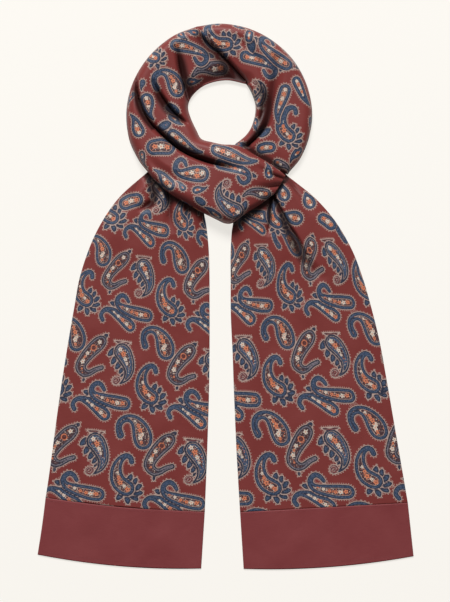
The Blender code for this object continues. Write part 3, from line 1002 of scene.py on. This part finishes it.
def tube_mesh(name, points, cloth, shade, drawn, material):
    """A closed mesh from rows of points, whose last column meets its first."""
    rows, around = points.shape[:2]
    top_count = shade.shape[1]
    ring = around - 1
    place = np.arange(rows * around).reshape(rows, around)
    corners = np.stack([place[:-1, :-1], place[:-1, 1:], place[1:, 1:], place[1:, :-1]], -1)
    corners = corners.reshape(-1, 4)
    vertex = (place // around) * ring + (place % around) % ring
    faces = vertex.ravel()[corners]
    first, last = vertex[0, :-1][::-1], vertex[-1, :-1]
    mesh = bpy.data.meshes.new(name)
    all_faces = [tuple(face) for face in faces.tolist()] + [tuple(first.tolist()), tuple(last.tolist())]
    mesh.from_pydata((points[:, :-1].reshape(-1, 3) * MM).tolist(), [], all_faces)
    corners = np.concatenate([corners.ravel(), place[0, :-1][::-1], place[-1, :-1]])
    add_uv_map(mesh, "Cloth", cloth.reshape(-1, 2) * MM, corners)
    add_uv_map(mesh, "OFBake", bake_map(rows, around, top_count), corners)
    if drawn:
        motif = np.column_stack([drawn.distance, drawn.outline, drawn.kind])
        add_corner_layer(mesh, "motif", motif, corners)
        add_corner_layer(mesh, "flower", drawn.flower, corners)
        # Painted shade: how deep each point of the upper side lies in a fold or under an edge, which
        # darkens its colour; the other points get none
        whole_shade = np.pad(shade, ((0, 0), (0, around - top_count))).reshape(-1, 1)
        add_corner_layer(mesh, "fold", np.repeat(whole_shade, 3, axis=1), corners)
    mesh.materials.append(material)
    piece = new_object(name, mesh)
    close_and_smooth(piece)
    return piece


def close_and_smooth(piece):
    """Splits the end faces into triangles and points every face outwards."""
    shape = bmesh.new()
    shape.from_mesh(piece.data)
    bmesh.ops.triangulate(shape, faces=[face for face in shape.faces if len(face.verts) > 4])
    bmesh.ops.recalc_face_normals(shape, faces=shape.faces)
    shape.to_mesh(piece.data)
    shape.free()
    piece.data.shade_smooth()


def give(tree, node, inputs):
    """Sets inputs of a node, or links them where another node's output is given."""
    for socket, value in inputs.items():
        if isinstance(value, bpy.types.NodeSocket):
            tree.links.new(value, node.inputs[socket])
        else:
            node.inputs[socket].default_value = value


def add(tree, kind, inputs=None, **settings):
    """Adds one node, with its settings, and its inputs set or linked."""
    made = tree.nodes.new(kind)
    for name, value in settings.items():
        setattr(made, name, value)
    give(tree, made, inputs or {})
    return made


def new_material(name):
    """A new material, its nodes, and the Principled shader among them."""
    material = bpy.data.materials.new(name)
    material.use_nodes = True
    return material, material.node_tree, material.node_tree.nodes["Principled BSDF"]


def maths(tree, operation, *values):
    return add(tree, "ShaderNodeMath", dict(enumerate(values)), operation=operation).outputs[0]


def times(tree, *values):
    """The product of several numbers."""
    result = values[0]
    for value in values[1:]:
        result = maths(tree, "MULTIPLY", result, value)
    return result


def ramp(tree, value, low, high, last=1.0, first=0.0):
    """From first to last as value goes from low to high, and level beyond them."""
    return add(tree, "ShaderNodeMapRange", {0: value, 1: low, 2: high, 3: first, 4: last}).outputs[0]


def above(tree, value, low, soft):
    """1 where value is over low, with a soft edge that wide, as ink spreads in silk."""
    return ramp(tree, value, low - soft, low + soft)


def below(tree, value, high, soft):
    """1 where value is under high, with a soft edge that wide."""
    return ramp(tree, value, high - soft, high + soft, last=0.0, first=1.0)


def between(tree, value, low, high, soft):
    """1 where value is from low to high, with soft edges that wide."""
    return times(tree, above(tree, value, low, soft), below(tree, value, high, soft))


def equals(tree, value, number):
    """1 where value is that whole number."""
    return between(tree, value, number - 0.5, number + 0.5, SHARP)


def parts_of(tree, vector):
    return add(tree, "ShaderNodeSeparateXYZ", {0: vector}).outputs


def corner_values(tree, name):
    """The three numbers that a mesh holds for the print at each of its corners."""
    return parts_of(tree, add(tree, "ShaderNodeAttribute", attribute_name=name).outputs["Vector"])


def distance_from(tree, right, up):
    """How far a place is from the middle of a flower or a bead."""
    away = add(tree, "ShaderNodeCombineXYZ", {0: right, 1: up}).outputs[0]
    return add(tree, "ShaderNodeVectorMath", {0: away}, operation="LENGTH").outputs[1]


def cloth_place(tree):
    """Where each point lies in the cloth laid out flat, in metres."""
    return add(tree, "ShaderNodeUVMap", uv_map="Cloth").outputs[0]


def layer_over(tree, ground, colour, mask):
    """The colour printed over the ground, where the mask is 1."""
    mixed = add(tree, "ShaderNodeMix", {0: mask, 6: ground, 7: colour}, data_type="RGBA")
    return mixed.outputs[2]


# Stripes of each kind of motif from its outline inwards: from, to, colour. Distances in millimetres.
STRIPES = {
    "blue": (
        (-FAR, -6.3, FIELD), (-6.3, -5.6, OUTLINE), (-5.6, -0.4, NAVY), (-4.6, -1.8, BLUE),
        (-0.4, 0.6, OUTLINE),
    ),
    "leaf": ((-FAR, -0.7, NAVY), (-FAR, -2.4, BLUE), (-0.7, 0.6, OUTLINE)),
    "grey": ((-FAR, -4.8, FIELD), (-5.2, -0.4, SLATE), (-4.3, -2.6, LILAC), (-0.4, 0.6, OUTLINE)),
    "full": (
        (-FAR, -0.4, NAVY), (-3.9, -3.1, OUTLINE), (-FAR, -4.6, BLUE), (-FAR, -8.4, FIELD),
        (-0.4, 0.6, OUTLINE),
    ),
    "coil": ((-0.6, 0.7, OUTLINE),),
    "cap": ((-FAR, -0.6, HEART), (-0.6, 0.7, OUTLINE)),
}
INK_SPREAD = 0.3
SHARP = 0.01  # the soft edge between two whole numbers
FLOWER_INSIDE = -4.4  # flowers show only this deep inside a motif
SPECK_INSIDE = -5.8  # and the specks between them

# Patches where the inks took unevenly, as limits of a noise between 0 and 1
PATCH_SCALE = 420.0
PATCH_SPREAD = 0.06
DARK_PATCHES = 0.52
PALE_PATCHES = 0.42
MOTTLE = 0.55  # how much of the darker blue shows through the lighter in the dark ones
RUBBED = 0.3  # how much paler the inks are in the pale ones, where they have rubbed

# Specks in the field of a motif: the share of them that has each ink, from and to
SPECKS = ((0.0, 0.3, OUTLINE), (0.3, 0.55, CREAM), (0.55, 0.8, ORANGE))
SPECK_SCALE = 450.0  # in a metre, so they are 2.2 mm apart
SPECK_RADIUS = 0.34  # of that distance
SPECK_SPREAD = 0.08

# Painted shade: little light reaches cloth that lies deep between two folds, so its colour darkens from
# and to this deep, and this much at most
SHADE_FROM = 4.0
SHADE_TO = 15.0
SHADE_MOST = 0.82

# Unevenness of the dye in slow clouds and fine slubs: limits of a noise, and how much
CLOUDS = (0.3, 0.7, 0.6)
SLUBS = (0.35, 0.75, 0.35)
SLUB_SCALE = (90.0, 900.0, 1.0)

RIB_SLANT = math.radians(60)
WAVE_RATE = 20.0  # radians of a wave texture for each unit of its scaled place


def silk_ground(tree, colour, worn):
    """Dyed silk that takes the light a little unevenly, in slow clouds and fine slubs."""
    place = add(tree, "ShaderNodeTexCoord").outputs["Object"]
    clouds = add(tree, "ShaderNodeTexNoise", {"Vector": place, "Scale": 14.0, "Detail": 3.0}).outputs[0]
    long_slubs = add(tree, "ShaderNodeMapping", {"Vector": cloth_place(tree), "Scale": SLUB_SCALE})
    slubs = add(tree, "ShaderNodeTexNoise", {"Vector": long_slubs.outputs[0], "Scale": 1.0}).outputs[0]
    both = maths(tree, "ADD", ramp(tree, clouds, *CLOUDS), ramp(tree, slubs, *SLUBS))
    return layer_over(tree, rgb(colour), rgb(worn), both)


def bead_mask(tree, distance, outline):
    """Small round beads of ink in a row just outside a motif's outline."""
    step = maths(tree, "FLOORED_MODULO", outline, BEAD_PITCH)
    along = maths(tree, "SUBTRACT", step, BEAD_PITCH / 2)
    out = maths(tree, "SUBTRACT", distance, BEAD_PLACE)
    return below(tree, distance_from(tree, along, out), BEAD_RADIUS, INK_SPREAD)


def coil_mask(tree, distance, outline):
    """A line that winds in from a coil's outline to its middle."""
    radius = SPINES["coil"][0][2]
    winding = COIL_PITCH / (2 * math.pi * radius)
    wound = maths(tree, "MULTIPLY_ADD", outline, winding, distance)
    turn = maths(tree, "FLOORED_MODULO", wound, COIL_PITCH)
    line = between(tree, turn, *COIL_LINE, INK_SPREAD)
    return times(tree, line, below(tree, distance, 0.0, INK_SPREAD))


def flower_masks(tree):
    """Petals, heart and colour of the nearest flower."""
    right, up, look = corner_values(tree, "flower")
    angle = maths(tree, "ARCTAN2", up, right)
    wave = maths(tree, "COSINE", times(tree, angle, PETALS))
    reach = distance_from(tree, right, up)
    is_cream = equals(tree, look, FLOWER_LOOKS["cream"])
    is_ring = equals(tree, look, FLOWER_LOOKS["ring"])
    waviness = add(tree, "ShaderNodeMix", {0: is_ring, 2: PETAL_WAVE, 3: 0.0}).outputs[0]
    edge = maths(tree, "MULTIPLY_ADD", wave, waviness, reach)
    petals = below(tree, edge, PETAL_RADIUS, INK_SPREAD)
    small = below(tree, reach, HEART_RADIUS, INK_SPREAD)
    wide = below(tree, reach, RING_HEART, INK_SPREAD)
    heart = add(tree, "ShaderNodeMix", {0: is_ring, 2: small, 3: wide}).outputs[0]
    return petals, heart, is_cream


def speck_mask(tree, lowest, highest):
    """Small round specks of ink, for the share of them between two limits."""
    inputs = {"Vector": cloth_place(tree), "Scale": SPECK_SCALE, "Randomness": 0.7}
    cells = add(tree, "ShaderNodeTexVoronoi", inputs).outputs
    choice = parts_of(tree, cells["Color"])[0]
    is_round = below(tree, cells["Distance"], SPECK_RADIUS, SPECK_SPREAD)
    return times(tree, is_round, between(tree, choice, lowest, highest, SHARP))


def printed_silk():
    """Silk twill, screen printed: flat inks that keep the cloth's soft low sheen, crisp at the edges, with
    shade painted over them deep in folds.
    """
    material, tree, shader = new_material("printed_silk_twill")
    distance, outline, kind = corner_values(tree, "motif")
    beads = times(tree, bead_mask(tree, distance, outline), BEAD_INK)
    colour = layer_over(tree, silk_ground(tree, GROUND, GROUND_WORN), rgb(OUTLINE), beads)
    for name, rows in STRIPES.items():
        is_kind = equals(tree, kind, KINDS[name])
        for low, high, ink in rows:
            stripe = between(tree, distance, low, high, INK_SPREAD)
            colour = layer_over(tree, colour, rgb(ink), times(tree, stripe, is_kind))
        if name == "coil":
            coil = times(tree, coil_mask(tree, distance, outline), is_kind)
            colour = layer_over(tree, colour, rgb(OUTLINE), coil)
    inputs = {"Vector": cloth_place(tree), "Scale": PATCH_SCALE, "Detail": 1.0}
    patches = add(tree, "ShaderNodeTexNoise", inputs).outputs[0]
    dark = above(tree, patches, DARK_PATCHES, PATCH_SPREAD)
    band = between(tree, distance, SPECK_INSIDE, -INK_SPREAD, INK_SPREAD)
    colour = layer_over(tree, colour, rgb(NAVY), times(tree, dark, band, MOTTLE))
    is_field = below(tree, distance, SPECK_INSIDE, INK_SPREAD)
    for lowest, highest, ink in SPECKS:
        specks = times(tree, speck_mask(tree, lowest, highest), is_field)
        colour = layer_over(tree, colour, rgb(ink), specks)
    petals, heart, is_cream = flower_masks(tree)
    inside = below(tree, distance, FLOWER_INSIDE, INK_SPREAD)
    for mask, orange_look, cream_look in ((petals, ORANGE, CREAM), (heart, HEART, ORANGE)):
        ink = layer_over(tree, rgb(orange_look), rgb(cream_look), is_cream)
        colour = layer_over(tree, colour, ink, times(tree, mask, inside))
    pale = below(tree, patches, PALE_PATCHES, PATCH_SPREAD)
    inks = below(tree, distance, -INK_SPREAD, INK_SPREAD)
    colour = layer_over(tree, colour, rgb(LILAC), times(tree, pale, inks, RUBBED))
    # Painted shade: the colour darkens towards the fold shade where the cloth lies deep in a fold or under
    # an edge
    fold = add(tree, "ShaderNodeAttribute", attribute_name="fold").outputs["Fac"]
    colour = layer_over(tree, colour, rgb(PAINTED_FOLD_SHADE), ramp(tree, fold, SHADE_FROM, SHADE_TO, SHADE_MOST))
    finish_silk(tree, shader, colour, roughness=0.5, rib_pitch=1.8)
    return material


def plain_silk():
    """The same silk, plain dyed for the end panels: a wider rib, and a little duller."""
    material, tree, shader = new_material("plain_silk_rib")
    finish_silk(tree, shader, silk_ground(tree, PLAIN, PLAIN_WORN), roughness=0.6, rib_pitch=2.6)
    return material


def finish_silk(tree, shader, colour, roughness, rib_pitch):
    """The colour, the sheen, and a weave of slanting ribs that are wider than real, so that they show."""
    slant = add(tree, "ShaderNodeMapping", {"Vector": cloth_place(tree), "Rotation": (0, 0, RIB_SLANT)})
    scale = 2 * math.pi / (WAVE_RATE * rib_pitch * MM)
    ribs = add(
        tree, "ShaderNodeTexWave", {"Vector": slant.outputs[0], "Scale": scale, "Distortion": 0.6}
    )
    place = add(tree, "ShaderNodeTexCoord").outputs["Object"]
    ripple = add(tree, "ShaderNodeTexNoise", {"Vector": place, "Scale": 24.0, "Detail": 2.0})
    soft = add(tree, "ShaderNodeBump", {"Height": ripple.outputs[0], "Strength": 0.25, "Distance": 4 * MM})
    weave = add(
        tree, "ShaderNodeBump",
        {"Height": ribs.outputs[0], "Strength": 0.18, "Distance": 0.15 * MM, "Normal": soft.outputs[0]},
    )
    give(tree, shader, {
        "Base Color": colour,
        "Normal": weave.outputs[0],
        "Roughness": roughness,
        "IOR": 1.5,
        "Specular IOR Level": 0.25,
        "Sheen Weight": 0.06,
        "Sheen Roughness": 0.4,
        "Sheen Tint": rgb(SHEEN),
    })


def silk_thread():
    """Spun silk thread, dyed to match: a little glossier than the cloth."""
    material, tree, shader = new_material("silk_thread")
    place = add(tree, "ShaderNodeTexCoord").outputs["Object"]
    twist = add(tree, "ShaderNodeTexNoise", {"Vector": place, "Scale": 900.0})
    colour = layer_over(tree, rgb(THREAD), rgb(PLAIN), twist.outputs[0])
    give(tree, shader, {"Base Color": colour, "Roughness": 0.45})
    return material


def stitch_group(thread):
    """Geometry nodes that lay small stitches, end to end with gaps, along every line of a curve."""
    group = bpy.data.node_groups.new("stitches", "GeometryNodeTree")
    ports = group.interface
    ports.new_socket("Geometry", in_out="INPUT", socket_type="NodeSocketGeometry")
    for name in ("Pitch", "Length", "Thickness"):
        ports.new_socket(name, in_out="INPUT", socket_type="NodeSocketFloat")
    ports.new_socket("Geometry", in_out="OUTPUT", socket_type="NodeSocketGeometry")
    given = add(group, "NodeGroupInput").outputs
    line, pitch, length, thickness = (given[name] for name in ("Geometry", "Pitch", "Length", "Thickness"))
    places = add(group, "GeometryNodeResampleCurve", {"Curve": line, "Length": pitch}, mode="LENGTH")
    size = add(group, "ShaderNodeCombineXYZ", {0: length, 1: thickness, 2: thickness})
    ball = add(group, "GeometryNodeMeshUVSphere", {"Segments": 6, "Rings": 4, "Radius": 0.5})
    stitch = add(group, "GeometryNodeTransform", {"Geometry": ball.outputs[0], "Scale": size.outputs[0]})
    tangent = add(group, "GeometryNodeInputTangent")
    along = add(group, "FunctionNodeAlignRotationToVector", {"Vector": tangent.outputs[0]}, axis="X")
    row = add(
        group, "GeometryNodeInstanceOnPoints",
        {"Points": places.outputs[0], "Instance": stitch.outputs[0], "Rotation": along.outputs[0]},
    )
    real = add(group, "GeometryNodeRealizeInstances", {0: row.outputs[0]})
    finished = add(group, "GeometryNodeSetMaterial", {"Geometry": real.outputs[0], "Material": thread})
    add(group, "NodeGroupOutput", {0: finished.outputs[0]})
    return group


def sewn_lines(name, lines, thread):
    """Rows of stitches as one plain mesh."""
    curve = bpy.data.curves.new(name + "_lines", "CURVE")
    curve.dimensions = "3D"
    for line in lines:
        spline = curve.splines.new("POLY")
        spline.points.add(len(line) - 1)
        spline.points.foreach_set("co", np.column_stack([line * MM, np.ones(len(line))]).ravel())
    guide = new_object(name + "_lines", curve)
    modifier = guide.modifiers.new("stitches", "NODES")
    modifier.node_group = stitch_group(thread)
    sizes = {"Pitch": STITCH_PITCH, "Length": STITCH_LENGTH, "Thickness": STITCH_THICKNESS}
    for socket in modifier.node_group.interface.items_tree:
        if socket.name in sizes:
            modifier[socket.identifier] = sizes[socket.name] * MM
    evaluated = guide.evaluated_get(bpy.context.evaluated_depsgraph_get())
    mesh = bpy.data.meshes.new_from_object(evaluated)
    mesh.name = name
    bpy.data.objects.remove(guide)
    return new_object(name, mesh)


def declare(piece, node):
    """The piece stands for its solid: it joins the root body, and the solid is hidden."""
    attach(piece, "root")
    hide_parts(node)


def loop_piece(node, table, material, is_tucked):
    """One stretch of the loop, as a thin skin of printed silk."""
    points, cloth, shade = loop_surface(table)
    if is_tucked:
        points, cloth, shade = tucked_in(points, cloth, shade)
    drawn = print_on_loop(points, cloth, shade.shape[1])
    piece = tube_mesh(node + "_silk", points, cloth, shade, drawn, material)
    skin = piece.modifiers.new("skin", "SOLIDIFY")
    skin.thickness = SKIN * MM
    skin.offset = -1
    declare(piece, node)


def tail_piece(node, side, table, material):
    """One tail of printed silk, from its seam up to where it slips in under the wrap."""
    points, cloth, shade = tail_surface(table, side)
    drawn = print_on_tail(points, cloth, shade.shape[1], side)
    piece = tube_mesh(node + "_silk", points, cloth, shade, drawn, material)
    declare(piece, node)


def end_piece(node, side, tail, hem, material, thread):
    """One plain end panel with its two rows of stitches."""
    outer_x, outer_y, inner_x, inner_y, rise = tail[0]
    seam = (outer_x, outer_y - SEAM_GAP, inner_x, inner_y - SEAM_GAP, rise)
    points, cloth, shade = tail_surface((seam, hem), side, bow=HEM_BOW)
    piece = tube_mesh(node + "_silk", points, cloth, shade, None, material)
    top = points[:, STITCH_INSET : shade.shape[1] - STITCH_INSET]
    lines = [top[row] + (0, 0, STITCH_LIFT) for row in STITCHED_ROWS]
    stitches = sewn_lines(node + "_stitches", lines, thread)
    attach(stitches, "root")
    declare(piece, node)


def make_camera():
    """Straight above, as the photograph is taken."""
    lens = bpy.data.cameras.new("camera")
    lens.lens = CAMERA_LENS
    lens.clip_end = 20.0
    camera = new_object("camera", lens)
    camera.location = [place * MM for place in CAMERA_PLACE]
    bpy.context.scene.camera = camera


def make_floor():
    """A pale paper sweep that glows a little, so that shadows on it stay faint."""
    shape = bmesh.new()
    bmesh.ops.create_grid(shape, x_segments=1, y_segments=1, size=FLOOR_HALF_SIZE)
    mesh = bpy.data.meshes.new("floor")
    shape.to_mesh(mesh)
    shape.free()
    material, tree, shader = new_material("pale_paper")
    give(tree, shader, {
        "Base Color": rgb(FLOOR),
        "Emission Color": rgb(FLOOR_GLOW),
        "Emission Strength": 1.0,
        "Roughness": 0.9,
        "Specular IOR Level": 0.0,
    })
    mesh.materials.append(material)
    floor = new_object("floor", mesh)


def make_light(name, energy, size, place):
    """A soft box of that many metres, aimed at the scarf."""
    box = bpy.data.lights.new(name, "AREA")
    box.energy = energy
    box.size = size
    light = new_object(name, box)
    light.location = place
    aim = -light.location
    light.rotation_euler = aim.to_track_quat("-Z", "Y").to_euler()


def make_world(strength):
    """Even white light from all sides."""
    world = bpy.data.worlds.new("studio")
    world.use_nodes = True
    tree = world.node_tree
    give(tree, tree.nodes["Background"], {"Color": (1, 1, 1, 1), "Strength": strength})
    bpy.context.scene.world = world


make_camera()
make_floor()
make_light("north_box", energy=700.0, size=2.4, place=(-0.9, 5.3, 5.6))
make_world(strength=0.14)
bpy.context.scene.view_settings.view_transform = "Standard"

printed, plain, thread = printed_silk(), plain_silk(), silk_thread()
loop_piece("loop_back", LOOP_BACK, printed, is_tucked=False)
loop_piece("loop_front", LOOP_FRONT, printed, is_tucked=True)
tail_piece("tail_left", "left", TAIL_LEFT, printed)
tail_piece("tail_right", "right", TAIL_RIGHT + (TAIL_RIGHT_TUCK,), printed)
end_piece("end_left", "left", TAIL_LEFT, HEM_LEFT, plain, thread)
end_piece("end_right", "right", TAIL_RIGHT, HEM_RIGHT, plain, thread)
